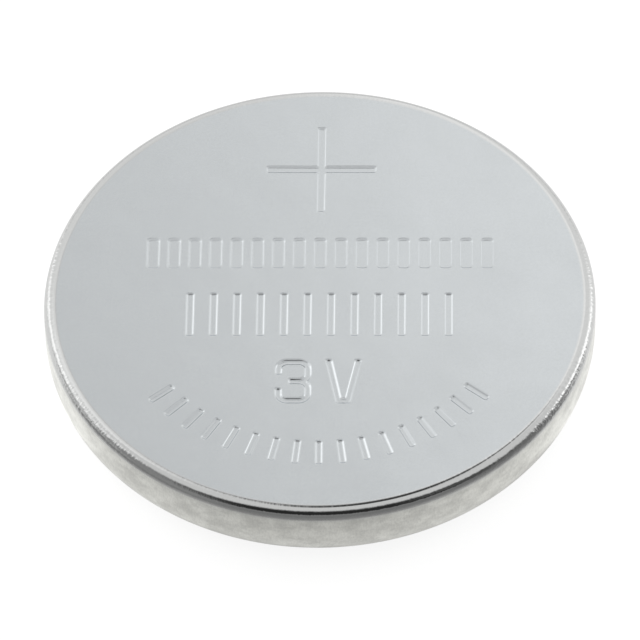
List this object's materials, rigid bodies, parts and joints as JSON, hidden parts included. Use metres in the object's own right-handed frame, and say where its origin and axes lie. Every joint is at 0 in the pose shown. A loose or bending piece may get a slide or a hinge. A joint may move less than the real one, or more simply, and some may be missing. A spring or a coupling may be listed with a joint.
{
  "type": "lithium coin cell",
  "caption": "Flat round lithium coin cell: drawn steel can with a rolled rim and a crimped foot, closed by a stepped cap and a gasket round stacked electrodes.",
  "frame": {"origin": "centre of the negative cap's flat face, which the cell lies on", "axes": "+Z from the negative face to the positive face, +Y towards the plus sign on the positive face"},
  "size_m": [0.02, 0.02, 0.0032],
  "materials": {
    "can_steel": "satin nickel plate",
    "cap_steel": "satin",
    "gasket_plastic": "moulded",
    "lithium_foil": "soft rolled foil",
    "separator_fleece": "non-woven",
    "cathode_mix": "pressed powder",
    "ring_steel": "plain sheet"
  },
  "bodies": {
    "root": {"positive_can": "can_steel", "negative_cap": "cap_steel", "sealing_gasket": "gasket_plastic", "lithium_disc": "lithium_foil", "separator": "separator_fleece", "cathode_pellet": "cathode_mix", "collector_ring": "ring_steel"}
  },
  "joints": []
}
